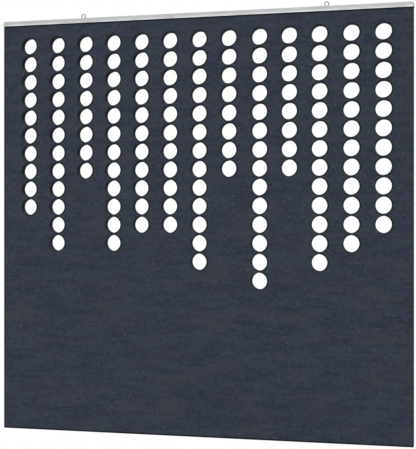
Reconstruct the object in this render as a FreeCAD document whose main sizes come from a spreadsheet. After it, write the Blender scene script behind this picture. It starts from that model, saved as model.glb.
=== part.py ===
import FreeCAD, Part
import os

import Sketcher

# Hanging acoustic panel: a square board of pressed felt with columns of round holes, capped by an
# aluminium channel, with two eye bolts on top to hang it by.
# Frame: origin midway between the two eyes at the centre of their rings, +X to the right seen from
# the front, +Y from the front to the back, +Z up. Millimetres.

doc = FreeCAD.newDocument("hanging_acoustic_panel")
sheet = doc.addObject("Spreadsheet::Sheet", "sizes")

# Driving sizes
SIZES = {
    # felt board
    "panel_width": 1200,
    "panel_height": 1200,
    "felt_thick": 25,
    "hole_dia": 46.6,
    "row_pitch": 52.61,
    "first_row_drop": 72.5,
    # aluminium channel
    "rail_height": 14,
    "rail_web": 2.5,
    "rail_wall": 2.5,
    "rail_overhang": 0.5,
    "rail_edge_radius": 0.6,
    "felt_gap": 0.3,
    # eye bolts
    "left_eye_inset": 247.2,
    "right_eye_inset": 237.4,
    "eye_bore": 8.5,
    "eye_wire": 3,
    "eye_land": 1,
    "neck_dia": 2.7,
    "neck_sink": 0.75,
    "collar_dia": 7.5,
    "collar_thick": 0.8,
    "collar_play": 0.3,
    "shank_dia": 4,
    "shank_clearance": 0.25,
    "shank_tail": 1.4,
    "shank_chamfer": 0.5,
    # washers and lock nuts under the web
    "washer_dia": 9,
    "washer_thick": 0.8,
    "washer_clearance": 0.15,
    "nut_flats": 7,
    "nut_hex_height": 3.4,
    "nut_collar_height": 1.6,
    "nut_collar_dia": 6.2,
    "nut_clearance": 0.05,
    "nut_chamfer": 0.35,
    "pocket_clearance": 1.5,
    "pocket_floor_gap": 1,
    # screws through the channel's rear leg
    "screw_dia": 3.5,
    "screw_cover": 9.8,
    "screw_point": 3.6,
    "screw_hole_clearance": 0.2,
    "pilot_clearance": 0.1,
    "head_dia": 6.8,
    "head_height": 2.4,
    "head_edge": 0.9,
    "recess_width": 1.1,
    "recess_span": 3.9,
    "recess_floor": 1.1,
}

# Columns of holes, left to right: each column's place as a share of the panel's width, and its holes
COLUMN_SHARES = [
    0.0669, 0.1404, 0.2128, 0.2843, 0.3550, 0.4264, 0.4986,
    0.5709, 0.6444, 0.7148, 0.7856, 0.8592, 0.9325,
]
COLUMN_HOLES = [10, 12, 8, 12, 11, 11, 13, 8, 14, 8, 13, 12, 11]

# Screws in each span of the rail: left end to left eye, eye to eye, right eye to right end
SPAN_SCREWS = [2, 4, 2]

cells = dict(SIZES)
for number, (share, holes) in enumerate(zip(COLUMN_SHARES, COLUMN_HOLES), start=1):
    cells[f"column_{number}_share"] = share
    cells[f"column_{number}_holes"] = holes
for row, (alias, value) in enumerate(cells.items(), start=1):
    sheet.set(f"A{row}", alias)
    sheet.set(f"B{row}", str(value))
    sheet.setAlias(f"B{row}", alias)
doc.recompute()


def bind(text):
    """Write an expression with each size pointing at its cell of the sheet."""
    out = ""
    word = ""
    for letter in text + " ":
        if letter.isalnum() or letter in "_.":
            word += letter
            continue
        out += f"sizes.{word}" if word in cells else word
        out += letter
        word = ""
    return out.strip()


def number_of(text):
    """The value of an expression in the sheet's present sizes."""
    return float(sheet.evalExpression(bind(text)))


# Lengths that follow from the driving sizes
EYE_MID = "(eye_bore / 2 + sqrt(eye_wire * eye_wire - eye_land * eye_land) / 2)"
EYE_OUTER = f"({EYE_MID} + eye_wire / 2)"
COLLAR_TOP = f"({EYE_OUTER} - neck_sink)"
RAIL_TOP = f"({COLLAR_TOP} + collar_thick + collar_play)"
FELT_TOP = f"({RAIL_TOP} + rail_web)"
NUT_HEIGHT = "(nut_hex_height + nut_collar_height)"
SHANK_LENGTH = f"(collar_play + rail_web + washer_thick + {NUT_HEIGHT} + shank_tail)"
POCKET_DEPTH = f"(washer_thick + {NUT_HEIGHT} + shank_tail + pocket_floor_gap)"
NUT_CORNERS = "(nut_flats * 2 / sqrt(3))"
POCKET_RADIUS = f"(max(washer_dia; {NUT_CORNERS}) / 2 + pocket_clearance)"
LEG_BACK = "(felt_thick / 2 + felt_gap + rail_wall)"
SCREW_DROP = "((rail_height - rail_web) / 2)"
SCREW_BITE = "(felt_thick - screw_cover)"
SCREW_LENGTH = f"({SCREW_BITE} + felt_gap + rail_wall)"

# Places along the rail, from the middle of the panel
LEFT_EYE = "(left_eye_inset - panel_width / 2)"
RIGHT_EYE = "(panel_width / 2 - right_eye_inset)"
SPAN_ENDS = ["(-panel_width / 2)", LEFT_EYE, RIGHT_EYE, "(panel_width / 2)"]

# The panel's middle, from the middle between the eyes
PANEL_MIDDLE = "((right_eye_inset - left_eye_inset) / 2)"

SCREW_PLACES = []
for span, count in enumerate(SPAN_SCREWS):
    start, stop = SPAN_ENDS[span], SPAN_ENDS[span + 1]
    for index in range(count):
        SCREW_PLACES.append(f"({start} + ({stop} - {start}) * {(index + 0.5) / count})")


def new_body(label, x="0", z="0"):
    """A body whose own origin stands at x and z of the part's frame."""
    body = doc.addObject("PartDesign::Body", label)
    body.Label = label
    body.setExpression("Placement.Base.x", bind(x))
    body.setExpression("Placement.Base.z", bind(z))
    return body


def new_sketch(body, name, plane, lift="0"):
    """A sketch on one of the body's origin planes, moved by lift along the plane's normal."""
    sketch = body.newObject("Sketcher::SketchObject", name)
    for feature in body.Origin.OriginFeatures:
        if feature.Role == plane:
            sketch.AttachmentSupport = [(feature, "")]
    sketch.MapMode = "FlatFace"
    sketch.setExpression("AttachmentOffset.Base.z", bind(lift))
    return sketch


def dimension(sketch, kind, *where, size):
    """Add a dimension and bind it to the sheet."""
    index = sketch.addConstraint(Sketcher.Constraint(kind, *where, number_of(size)))
    sketch.setExpression(f"Constraints[{index}]", bind(size))


def add_circle(sketch, radius, x="0", y="0"):
    """A circle dimensioned from the sketch's origin."""
    centre = FreeCAD.Vector(number_of(x), number_of(y), 0)
    circle = Part.Circle(centre, FreeCAD.Vector(0, 0, 1), number_of(radius))
    index = sketch.addGeometry(circle)
    dimension(sketch, "Radius", index, size=radius)
    for kind, axis, place in (("DistanceX", -2, x), ("DistanceY", -1, y)):
        if place == "0":
            sketch.addConstraint(Sketcher.Constraint("PointOnObject", index, 3, axis))
        else:
            dimension(sketch, kind, -1, 1, index, 3, size=place)


def add_outline(sketch, corners):
    """A closed outline of straight lines through corners, each dimensioned from the origin."""
    points = [FreeCAD.Vector(number_of(x), number_of(y), 0) for x, y in corners]
    total = len(corners)
    first = sketch.GeometryCount
    for index in range(total):
        sketch.addGeometry(Part.LineSegment(points[index], points[(index + 1) % total]))
    for index in range(total):
        line, after = first + index, first + (index + 1) % total
        sketch.addConstraint(Sketcher.Constraint("Coincident", line, 2, after, 1))
    for index, (x, y) in enumerate(corners):
        line = first + index
        for kind, axis, place in (("DistanceX", -2, x), ("DistanceY", -1, y)):
            if place == "0":
                sketch.addConstraint(Sketcher.Constraint("PointOnObject", line, 1, axis))
            else:
                dimension(sketch, kind, -1, 1, line, 1, size=place)


def pad(body, sketch, length, symmetric=False, downwards=False):
    feature = body.newObject("PartDesign::Pad", f"{sketch.Name}_pad")
    feature.Profile = sketch
    feature.SideType = "Symmetric" if symmetric else "One side"
    feature.Reversed = downwards
    feature.setExpression("Length", bind(length))
    return feature


def pocket(body, sketch, length=None, towards_normal=False):
    """Cut a sketch into its body: by length one way, or right through both ways without one."""
    feature = body.newObject("PartDesign::Pocket", f"{sketch.Name}_cut")
    feature.Profile = sketch
    feature.Reversed = towards_normal
    if length is None:
        feature.SideType = "Symmetric"
        feature.Type = "ThroughAll"
    else:
        feature.setExpression("Length", bind(length))
    return feature


def revolve(body, sketch, axis, kind="PartDesign::Revolution"):
    feature = body.newObject(kind, f"{sketch.Name}_turned")
    feature.Profile = sketch
    feature.ReferenceAxis = (sketch, [axis])
    feature.Angle = 360
    return feature


# Felt board: one pressed board, its holes cut column by column from the first row down.
# Own origin: middle of the top edge, half way through the thickness.
felt = new_body("felt_panel", x=PANEL_MIDDLE, z=f"-{FELT_TOP}")
board = new_sketch(felt, "board", "XZ_Plane")
add_outline(board, [
    ("-panel_width / 2", "-panel_height"),
    ("panel_width / 2", "-panel_height"),
    ("panel_width / 2", "0"),
    ("-panel_width / 2", "0"),
])
pad(felt, board, "felt_thick", symmetric=True)

for number in range(1, len(COLUMN_SHARES) + 1):
    top_hole = new_sketch(felt, f"column_{number}", "XZ_Plane")
    across = f"panel_width * (column_{number}_share - 1 / 2)"
    add_circle(top_hole, "hole_dia / 2", x=across, y="-first_row_drop")
    hole = pocket(felt, top_hole)
    column = felt.newObject("PartDesign::LinearPattern", f"column_{number}_holes")
    column.Originals = [hole]
    column.Direction = (top_hole, ["V_Axis"])
    column.Reversed = True
    column.setExpression("Occurrences", bind(f"column_{number}_holes"))
    column.setExpression("Length", bind(f"row_pitch * (column_{number}_holes - 1)"))
    felt.Tip = column

# Round pockets in the top edge give the lock nuts room
for side, place in (("left", LEFT_EYE), ("right", RIGHT_EYE)):
    nut_room = new_sketch(felt, f"{side}_nut_room", "XY_Plane")
    add_circle(nut_room, POCKET_RADIUS, x=place)
    pocket(felt, nut_room, POCKET_DEPTH)

# Pilot bores in the back take the screws
pilots = new_sketch(felt, "pilots", "XZ_Plane", lift="-felt_thick / 2")
for place in SCREW_PLACES:
    add_circle(pilots, "screw_dia / 2 + pilot_clearance", x=place, y=f"-{SCREW_DROP}")
pocket(felt, pilots, f"{SCREW_BITE} + pilot_clearance", towards_normal=True)

# Aluminium channel: extruded U section over the board's top edge.
# Own origin: middle of the flat top.
rail = new_body("top_rail", x=PANEL_MIDDLE, z=f"-{RAIL_TOP}")
section = new_sketch(rail, "section", "YZ_Plane")
add_outline(section, [
    (f"-{LEG_BACK}", "0"),
    (f"-{LEG_BACK}", "-rail_height"),
    (f"rail_wall - {LEG_BACK}", "-rail_height"),
    (f"rail_wall - {LEG_BACK}", "-rail_web"),
    (f"{LEG_BACK} - rail_wall", "-rail_web"),
    (f"{LEG_BACK} - rail_wall", "-rail_height"),
    (LEG_BACK, "-rail_height"),
    (LEG_BACK, "0"),
])
channel = pad(rail, section, "panel_width + 2 * rail_overhang", symmetric=True)
doc.recompute()

# The extrusion's four outer long edges are slightly rounded
outer_edges = []
for index, edge in enumerate(channel.Shape.Edges, start=1):
    middle = edge.BoundBox.Center
    long_edge = edge.BoundBox.YLength + edge.BoundBox.ZLength < edge.BoundBox.XLength
    if long_edge and abs(middle.y) > number_of(f"{LEG_BACK} - rail_wall / 2"):
        outer_edges.append(f"Edge{index}")
rounding = rail.newObject("PartDesign::Fillet", "rounded_edges")
rounding.Base = (channel, outer_edges)
rounding.setExpression("Radius", "sizes.rail_edge_radius")

eye_holes = new_sketch(rail, "eye_holes", "XY_Plane")
for place in (LEFT_EYE, RIGHT_EYE):
    add_circle(eye_holes, "shank_dia / 2 + shank_clearance", x=place)
pocket(rail, eye_holes, "rail_web")

screw_holes = new_sketch(rail, "screw_holes", "XZ_Plane", lift=f"-{LEG_BACK}")
for place in SCREW_PLACES:
    add_circle(
        screw_holes, "screw_dia / 2 + screw_hole_clearance", x=place, y=f"-rail_web - {SCREW_DROP}"
    )
pocket(rail, screw_holes, "rail_wall", towards_normal=True)


def make_eye_bolt(label, place):
    """Small forged eye bolt. Own origin: the centre of its ring, whose axis is Y."""
    bolt = new_body(label, x=f"{PANEL_MIDDLE} + {place}")
    wire = new_sketch(bolt, f"{label}_wire", "YZ_Plane")
    middle = FreeCAD.Vector(0, number_of(EYE_MID), 0)
    radius = number_of("eye_wire / 2")
    half_land = number_of("eye_land / 2")
    bore = number_of("eye_bore / 2")
    left = FreeCAD.Vector(-half_land, bore, 0)
    right = FreeCAD.Vector(half_land, bore, 0)
    crown = middle + FreeCAD.Vector(0, radius, 0)
    round_side = wire.addGeometry(Part.Arc(right, crown, left))
    land = wire.addGeometry(Part.LineSegment(left, right))
    wire.addConstraint(Sketcher.Constraint("Coincident", round_side, 2, land, 1))
    wire.addConstraint(Sketcher.Constraint("Coincident", land, 2, round_side, 1))
    wire.addConstraint(Sketcher.Constraint("Horizontal", land))
    wire.addConstraint(Sketcher.Constraint("PointOnObject", round_side, 3, -2))
    dimension(wire, "Radius", round_side, size="eye_wire / 2")
    dimension(wire, "DistanceX", land, 1, land, 2, size="eye_land")
    dimension(wire, "DistanceY", -1, 1, land, 1, size="eye_bore / 2")
    revolve(bolt, wire, "H_Axis")

    stem = new_sketch(bolt, f"{label}_stem", "XZ_Plane")
    collar_low = f"-({COLLAR_TOP} + collar_thick)"
    tail_end = f"-({COLLAR_TOP} + collar_thick + {SHANK_LENGTH})"
    add_outline(stem, [
        ("0", f"-{EYE_MID}"),
        ("neck_dia / 2", f"-{EYE_MID}"),
        ("collar_dia / 2", f"-{COLLAR_TOP}"),
        ("collar_dia / 2", collar_low),
        ("shank_dia / 2", collar_low),
        ("shank_dia / 2", f"{tail_end} + shank_chamfer"),
        ("shank_dia / 2 - shank_chamfer", tail_end),
        ("0", tail_end),
    ])
    revolve(bolt, stem, "V_Axis")


def make_washer(label, place):
    """Flat washer against the underside of the channel's web. Own origin: its top face."""
    washer = new_body(label, x=f"{PANEL_MIDDLE} + {place}", z=f"-{FELT_TOP}")
    ring = new_sketch(washer, f"{label}_ring", "XY_Plane")
    add_circle(ring, "washer_dia / 2")
    add_circle(ring, "shank_dia / 2 + washer_clearance")
    pad(washer, ring, "washer_thick", downwards=True)


def make_lock_nut(label, place):
    """Self-locking nut: a hexagon with a round collar below it. Own origin: its top face."""
    nut = new_body(label, x=f"{PANEL_MIDDLE} + {place}", z=f"-({FELT_TOP} + washer_thick)")
    corner = f"{NUT_CORNERS} / 2"
    hexagon = new_sketch(nut, f"{label}_hexagon", "XY_Plane")
    add_outline(hexagon, [
        (corner, "0"),
        (f"{corner} / 2", "nut_flats / 2"),
        (f"-{corner} / 2", "nut_flats / 2"),
        (f"-{corner}", "0"),
        (f"-{corner} / 2", "-nut_flats / 2"),
        (f"{corner} / 2", "-nut_flats / 2"),
    ])
    pad(nut, hexagon, "nut_hex_height", downwards=True)
    collar = new_sketch(nut, f"{label}_collar", "XY_Plane")
    add_circle(collar, "nut_collar_dia / 2")
    pad(nut, collar, NUT_HEIGHT, downwards=True)
    thread = new_sketch(nut, f"{label}_thread", "XY_Plane")
    add_circle(thread, "shank_dia / 2 + nut_clearance")
    pocket(nut, thread, NUT_HEIGHT)
    # The corners of the hexagon are turned off to a cone at its top
    bevel = new_sketch(nut, f"{label}_bevel", "XZ_Plane")
    add_outline(bevel, [
        ("nut_flats / 2", "0"),
        (f"{corner} + nut_chamfer", "0"),
        (f"{corner} + nut_chamfer", f"-({corner} + nut_chamfer - nut_flats / 2) / sqrt(3)"),
    ])
    revolve(nut, bevel, "V_Axis", kind="PartDesign::Groove")


for side, place in (("left", LEFT_EYE), ("right", RIGHT_EYE)):
    make_eye_bolt(f"{side}_eye_bolt", place)
    make_washer(f"{side}_eye_washer", place)
    make_lock_nut(f"{side}_lock_nut", place)

# Pan-head screw, the pattern for all of them: axis Y, head to the back, point into the felt.
# Own origin: the seat under its head.
screw = doc.addObject("PartDesign::Body", "screw")
profile = new_sketch(screw, "screw_profile", "XY_Plane")
add_outline(profile, [
    ("0", f"-{SCREW_LENGTH}"),
    ("screw_dia / 2", f"screw_point - {SCREW_LENGTH}"),
    ("screw_dia / 2", "0"),
    ("head_dia / 2", "0"),
    ("head_dia / 2", "head_height - head_edge"),
    ("head_dia / 2 - head_edge", "head_height"),
    ("0", "head_height"),
])
revolve(screw, profile, "V_Axis")
recess = new_sketch(screw, "recess", "XZ_Plane", lift="-head_height")
half_span, half_width = "recess_span / 2", "recess_width / 2"
add_outline(recess, [
    (half_span, f"-{half_width}"),
    (half_span, half_width),
    (half_width, half_width),
    (half_width, half_span),
    (f"-{half_width}", half_span),
    (f"-{half_width}", half_width),
    (f"-{half_span}", half_width),
    (f"-{half_span}", f"-{half_width}"),
    (f"-{half_width}", f"-{half_width}"),
    (f"-{half_width}", f"-{half_span}"),
    (half_width, f"-{half_span}"),
    (half_width, f"-{half_width}"),
])
pocket(screw, recess, "head_height - recess_floor", towards_normal=True)

screw_links = []
for number, place in enumerate(SCREW_PLACES, start=1):
    link = doc.addObject("App::Link", f"screw_{number}")
    link.LinkedObject = screw
    link.setExpression("Placement.Base.x", bind(f"{PANEL_MIDDLE} + {place}"))
    link.setExpression("Placement.Base.y", bind(LEG_BACK))
    link.setExpression("Placement.Base.z", bind(f"-({FELT_TOP} + {SCREW_DROP})"))
    screw_links.append(link)
screws = doc.addObject("Part::Compound", "rail_screws")
screws.Label = "rail_screws"
screws.Links = screw_links

doc.recompute()

NODES = [
    "felt_panel",
    "top_rail",
    "left_eye_bolt",
    "right_eye_bolt",
    "left_eye_washer",
    "right_eye_washer",
    "left_lock_nut",
    "right_lock_nut",
    "rail_screws",
]

for item in doc.Objects:
    if "Invalid" in item.State or "Error" in item.State:
        raise RuntimeError(f"{item.Label} failed: {item.State}")

parts = {}
for label in NODES:
    shape = doc.getObjectsByLabel(label)[0].Shape
    if shape.isNull() or not shape.isValid():
        raise RuntimeError(f"{label} has no valid shape")
    parts[label] = shape

os.makedirs("parts", exist_ok=True)
for label, shape in parts.items():
    shape.exportStep(f"parts/{label}.step")
    box = shape.BoundBox
    print(
        f"{label}: {len(shape.Solids)} solids, {shape.Volume:.1f} mm3,"
        f" X {box.XMin:.2f} {box.XMax:.2f}, Y {box.YMin:.2f} {box.YMax:.2f},"
        f" Z {box.ZMin:.2f} {box.ZMax:.2f}"
    )
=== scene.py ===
import math

import bmesh
import bpy
import numpy as np
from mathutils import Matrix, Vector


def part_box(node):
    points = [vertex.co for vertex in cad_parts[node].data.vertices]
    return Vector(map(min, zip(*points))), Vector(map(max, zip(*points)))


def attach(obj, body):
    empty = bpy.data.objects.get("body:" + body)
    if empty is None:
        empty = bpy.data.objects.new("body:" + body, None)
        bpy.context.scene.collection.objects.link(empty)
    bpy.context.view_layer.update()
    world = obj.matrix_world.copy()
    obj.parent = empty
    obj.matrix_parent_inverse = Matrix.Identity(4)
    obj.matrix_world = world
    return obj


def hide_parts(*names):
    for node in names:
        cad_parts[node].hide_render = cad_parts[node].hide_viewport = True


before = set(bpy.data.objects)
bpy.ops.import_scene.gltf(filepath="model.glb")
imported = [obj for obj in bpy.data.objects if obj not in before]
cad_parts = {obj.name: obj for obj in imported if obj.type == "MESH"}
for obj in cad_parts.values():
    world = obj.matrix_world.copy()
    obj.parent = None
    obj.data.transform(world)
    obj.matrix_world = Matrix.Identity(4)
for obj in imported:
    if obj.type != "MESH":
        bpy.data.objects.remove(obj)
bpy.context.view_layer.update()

# Shared values: the sides that the eyes are on, the angle in degrees past which an edge stays
# crisp, the gap under which two points are merged, and what stands for nothing where it divides.
SIDES = ("left", "right")
SHARP_ANGLE = 40
MERGE_GAP = 1e-6
NEVER_NOTHING = 1e-9

# Felt board: a square sheet of polyester fibre pressed 25 mm thick. Its columns of round holes are
# cut right through by a knife, and every cut arris is left a little rounded. The top edge, under
# the channel, has two round rooms for the lock nuts and eight pilot bores for the screws.
COLUMN_SHARES = np.array([
    0.0669, 0.1404, 0.2128, 0.2843, 0.3550, 0.4264, 0.4986,
    0.5709, 0.6444, 0.7148, 0.7856, 0.8592, 0.9325,
])
HOLES_DOWN = np.array([10, 12, 8, 12, 11, 11, 13, 8, 14, 8, 13, 12, 11])
HOLE_RADIUS = 0.0233
ROW_PITCH = 0.05261
FIRST_ROW_DROP = 0.0725
ARRIS_RADIUS = 0.0011
ARRIS_STEPS = 3
HOLE_RAYS = 48
CORNER_RAY = 5
CELL_LINE_DIGITS = 9
GRID_LINE_DIGITS = 8
BORDER_BAND = 0.005
NUT_ROOM_RADIUS = 0.0060
NUT_ROOM_DEPTH = 0.0082
SPAN_SCREWS = (2, 4, 2)
PILOT_RADIUS = 0.00185
PILOT_DEPTH = 0.0153
CUTTER_OVERRUN = 0.001
CUTTER_SIDES = 48

felt_low, felt_high = (np.array(corner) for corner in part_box("felt_panel"))
felt_width = felt_high[0] - felt_low[0]
felt_back = felt_high[1]
rail_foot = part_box("top_rail")[0][2]
hole_x = felt_low[0] + COLUMN_SHARES * felt_width
hole_z = felt_high[2] - FIRST_ROW_DROP - ROW_PITCH * np.arange(HOLES_DOWN.max())
hole_centres = np.array([
    (x, z) for x, count in zip(hole_x, HOLES_DOWN) for z in hole_z[:count]
])
eye_x = [sum(corner[0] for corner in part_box(f"{side}_eye_bolt")) / 2 for side in SIDES]
screw_low, screw_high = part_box("rail_screws")
screw_z = (screw_low[2] + screw_high[2]) / 2
span_ends = np.array([felt_low[0], *eye_x, felt_high[0]])
screw_x = np.concatenate([
    start + (end - start) * (np.arange(count) + 0.5) / count
    for start, end, count in zip(span_ends[:-1], span_ends[1:], SPAN_SCREWS)
])


def band_faces(rows, around, closed=True):
    """Quads between neighbouring rows of a grid, numbered row by row. Each face looks along the
    cross product of its way round the row and its step to the next row."""
    row, spot = np.meshgrid(
        np.arange(rows - 1), np.arange(around if closed else around - 1), indexing="ij"
    )
    after = (spot + 1) % around
    corners = (
        row * around + spot,
        row * around + after,
        (row + 1) * around + after,
        (row + 1) * around + spot,
    )
    return np.stack(corners, axis=-1).reshape(-1, 4)


def sewn_mesh(name, sheets):
    """One mesh from sheets of (points, faces), with the points that coincide merged."""
    points, faces, start = [], [], 0
    for sheet_points, sheet_faces in sheets:
        sheet_points = np.reshape(sheet_points, (-1, 3))
        points.append(sheet_points)
        for face in np.array(sheet_faces).tolist():
            faces.append([corner + start for corner in face])
        start += len(sheet_points)
    mesh = bpy.data.meshes.new(name)
    mesh.from_pydata(np.concatenate(points).tolist(), [], faces)
    work = bmesh.new()
    work.from_mesh(mesh)
    bmesh.ops.remove_doubles(work, verts=work.verts, dist=MERGE_GAP)
    loose = [corner for corner in work.verts if not corner.link_faces]
    bmesh.ops.delete(work, geom=loose, context="VERTS")
    work.to_mesh(mesh)
    work.free()
    mesh.shade_smooth()
    return mesh


def new_piece(name, mesh):
    """An object at the origin that shows a mesh."""
    piece = bpy.data.objects.new(name, mesh)
    bpy.context.scene.collection.objects.link(piece)
    return piece


def finished_mesh(piece, name):
    """The piece's mesh with its modifiers applied; the piece itself is taken away."""
    bpy.context.view_layer.update()
    seen = piece.evaluated_get(bpy.context.evaluated_depsgraph_get())
    mesh = bpy.data.meshes.new_from_object(seen)
    mesh.name = name
    bpy.data.objects.remove(piece)
    return mesh


def round_cutter(foot, axis, radius, length):
    """A closed cylinder from its foot along an axis: two rings of points, each with one face."""
    turn = np.arange(CUTTER_SIDES) * 2 * math.pi / CUTTER_SIDES
    axis = np.array(axis, float)
    side = np.roll(axis, 1)
    ring = radius * (np.outer(np.cos(turn), side) + np.outer(np.sin(turn), np.cross(axis, side)))
    points = np.array(foot, float) + np.stack([ring, ring + axis * length])
    ends = [
        list(range(CUTTER_SIDES))[::-1],
        list(range(CUTTER_SIDES, 2 * CUTTER_SIDES)),
    ]
    return points, [*band_faces(2, CUTTER_SIDES).tolist(), *ends]


def bored(mesh, cutters, name):
    """The mesh with round cutters taken out of it."""
    piece = new_piece(name, mesh)
    tools = [
        new_piece(
            f"cutter_{number}", sewn_mesh("cutter", [(points, faces[:-2]), (points, faces[-2:])])
        )
        for number, (points, faces) in enumerate(cutters)
    ]
    for tool in tools:
        cut = piece.modifiers.new(tool.name, "BOOLEAN")
        cut.operation = "DIFFERENCE"
        cut.solver = "EXACT"
        cut.object = tool
    mesh = finished_mesh(piece, name)
    for tool in tools:
        bpy.data.objects.remove(tool)
    return mesh


def keep_flat(piece, angle):
    """Edges sharper than angle stay crisp, and flat faces stay flat up to their rounded edges."""
    piece.data.set_sharp_from_angle(angle=math.radians(angle))
    flat = piece.modifiers.new("flat faces stay flat", "WEIGHTED_NORMAL")
    flat.keep_sharp = True


def points_of(mesh):
    """The mesh's vertices as an array of (x, y, z)."""
    flat = np.empty(len(mesh.vertices) * 3)
    mesh.vertices.foreach_get("co", flat)
    return flat.reshape(-1, 3)


def write_attribute(mesh, name, values):
    """A number for each vertex that a material can read."""
    layer = mesh.attributes.new(name, "FLOAT", "POINT")
    layer.data.foreach_set("value", np.asarray(values, np.float32))


def dress(mesh, finish):
    """Give a mesh its one material."""
    mesh.materials.clear()
    mesh.materials.append(finish)


def arris_profile(half_thick, radius, steps):
    """Round over from the front face to the back one: how far each ring lies out of the face's
    edge, and its depth. A quarter turn at each end, as out = r sin t and depth = r (1 - cos t)."""
    turn = np.linspace(0, math.pi / 2, steps + 1)
    out = radius * np.sin(turn)
    depth = radius * (1 - np.cos(turn)) - half_thick
    return np.concatenate([out, out[::-1]]), np.concatenate([depth, -depth[::-1]])


def hole_sheets():
    """The cells round the holes. Along each ray a cell runs from its rim on the front face in to
    the hole, over the arris, down the wall, and out again on the back face."""
    angle = np.arange(HOLE_RAYS) * 2 * math.pi / HOLE_RAYS
    ray = np.stack([np.cos(angle), np.sin(angle)], axis=-1)
    half_cell = np.array([1 / math.tan(CORNER_RAY * 2 * math.pi / HOLE_RAYS), 1]) * ROW_PITCH / 2
    reach = (half_cell / np.maximum(np.abs(ray), NEVER_NOTHING)).min(axis=1)
    out, depth = arris_profile(felt_back, ARRIS_RADIUS, ARRIS_STEPS)
    radius = np.repeat((HOLE_RADIUS + ARRIS_RADIUS - out)[:, None], HOLE_RAYS, axis=1)
    radius = np.vstack([reach, radius, reach])
    depth = np.concatenate([[-felt_back], depth, [felt_back]])
    flat = radius[..., None] * ray + hole_centres[:, None, None, :]
    points = np.empty(flat.shape[:-1] + (3,))
    points[..., 0] = flat[..., 0]
    points[..., 1] = depth[:, None]
    points[..., 2] = flat[..., 1]
    faces = band_faces(len(depth), HOLE_RAYS)
    starts = np.arange(len(hole_centres)) * len(depth) * HOLE_RAYS
    faces = (faces + starts[:, None, None]).reshape(-1, 4)
    side = reach[:, None] * ray
    lines_x = side[np.isclose(side[:, 1], half_cell[1]), 0]
    lines_z = side[np.isclose(side[:, 0], half_cell[0]), 1]
    cell_lines = (np.unique(np.round(lines, CELL_LINE_DIGITS)) for lines in (lines_x, lines_z))
    return points, faces, *cell_lines


def face_sheets(lines_x, lines_z):
    """The rest of the two faces: a grid through the cells' own lines, left open at the cells."""
    x0, x1 = felt_low[0] + ARRIS_RADIUS, felt_high[0] - ARRIS_RADIUS
    z0, z1 = felt_low[2] + ARRIS_RADIUS, felt_high[2] - ARRIS_RADIUS
    across = np.concatenate([
        [x0, x0 + BORDER_BAND, x1 - BORDER_BAND, x1], np.add.outer(hole_x, lines_x).ravel()
    ])
    cell_lines = np.add.outer(hole_z, lines_z).ravel()
    down = np.concatenate([
        [z0, z0 + BORDER_BAND, cell_lines.min() - BORDER_BAND],
        cell_lines,
        [cell_lines.max() + BORDER_BAND, z1 - BORDER_BAND, z1],
    ])
    across, down = (np.unique(np.round(lines, GRID_LINE_DIGITS)) for lines in (across, down))
    closed = np.ones((len(across) - 1, len(down) - 1), bool)
    middle_x, middle_z = (across[1:] + across[:-1]) / 2, (down[1:] + down[:-1]) / 2
    for x, count in zip(hole_x, HOLES_DOWN):
        in_x = (middle_x > x + lines_x[0]) & (middle_x < x + lines_x[-1])
        in_z = middle_z > hole_z[count - 1] + lines_z[0]
        in_z &= middle_z < hole_z[0] + lines_z[-1]
        closed[np.ix_(in_x, in_z)] = False
    faces = band_faces(len(across), len(down), closed=False)[closed.ravel()]
    grid_x, grid_z = np.meshgrid(across, down, indexing="ij")
    front = np.stack([grid_x, np.full_like(grid_x, -felt_back), grid_z], axis=-1)
    back = front * [1, -1, 1]
    return [(front, faces[:, ::-1]), (back, faces)], across, down


def border_sheet(across, down):
    """The board's four outer sides: the arris profile carried round the rectangle of its face, with
    a quarter of a ball at each corner."""
    turn = np.linspace(0, math.pi / 2, ARRIS_STEPS + 1)[1:-1]
    sides = [
        np.stack([np.full(len(down), across[-1]), down], axis=-1),
        np.stack([across[::-1], np.full(len(across), down[-1])], axis=-1),
        np.stack([np.full(len(down), across[0]), down[::-1]], axis=-1),
        np.stack([across, np.full(len(across), down[0])], axis=-1),
    ]
    base, angle = [], []
    for quarter, side in enumerate(sides):
        base += [side, np.repeat(side[-1:], len(turn), axis=0)]
        angle += [np.full(len(side), quarter * math.pi / 2), turn + quarter * math.pi / 2]
    base, angle = np.concatenate(base), np.concatenate(angle)
    out, depth = arris_profile(felt_back, ARRIS_RADIUS, ARRIS_STEPS)
    flat = base + out[:, None, None] * np.stack([np.cos(angle), np.sin(angle)], axis=-1)
    points = np.empty((len(out), len(base), 3))
    points[..., 0] = flat[..., 0]
    points[..., 1] = depth[:, None]
    points[..., 2] = flat[..., 1]
    return points, band_faces(len(out), len(base))[:, ::-1]


cell_points, cell_faces, lines_x, lines_z = hole_sheets()
plain_faces, across, down = face_sheets(lines_x, lines_z)
nut_rooms = [
    round_cutter(
        (x, 0, felt_high[2] - NUT_ROOM_DEPTH), (0, 0, 1),
        NUT_ROOM_RADIUS, NUT_ROOM_DEPTH + CUTTER_OVERRUN,
    )
    for x in eye_x
]
pilots = [
    round_cutter(
        (x, felt_back - PILOT_DEPTH, screw_z), (0, 1, 0), PILOT_RADIUS, PILOT_DEPTH + CUTTER_OVERRUN
    )
    for x in screw_x
]
felt_mesh = bored(
    sewn_mesh("felt", [(cell_points, cell_faces), *plain_faces, border_sheet(across, down)]),
    nut_rooms + pilots, "felt_board",
)
felt_board = new_piece("felt_board", felt_mesh)
keep_flat(felt_board, SHARP_ANGLE)
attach(felt_board, "panel")
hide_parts("felt_panel")

# What the felt's material reads: how far a point is from a cut edge, and whether it is in a hole
# or on a cut wall. The painted shade beside the edges leans: it lies to the right of each hole
# and of the board's left side, and above the board's foot.
RIM_SHADE_LEAN = 0.0022


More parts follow.
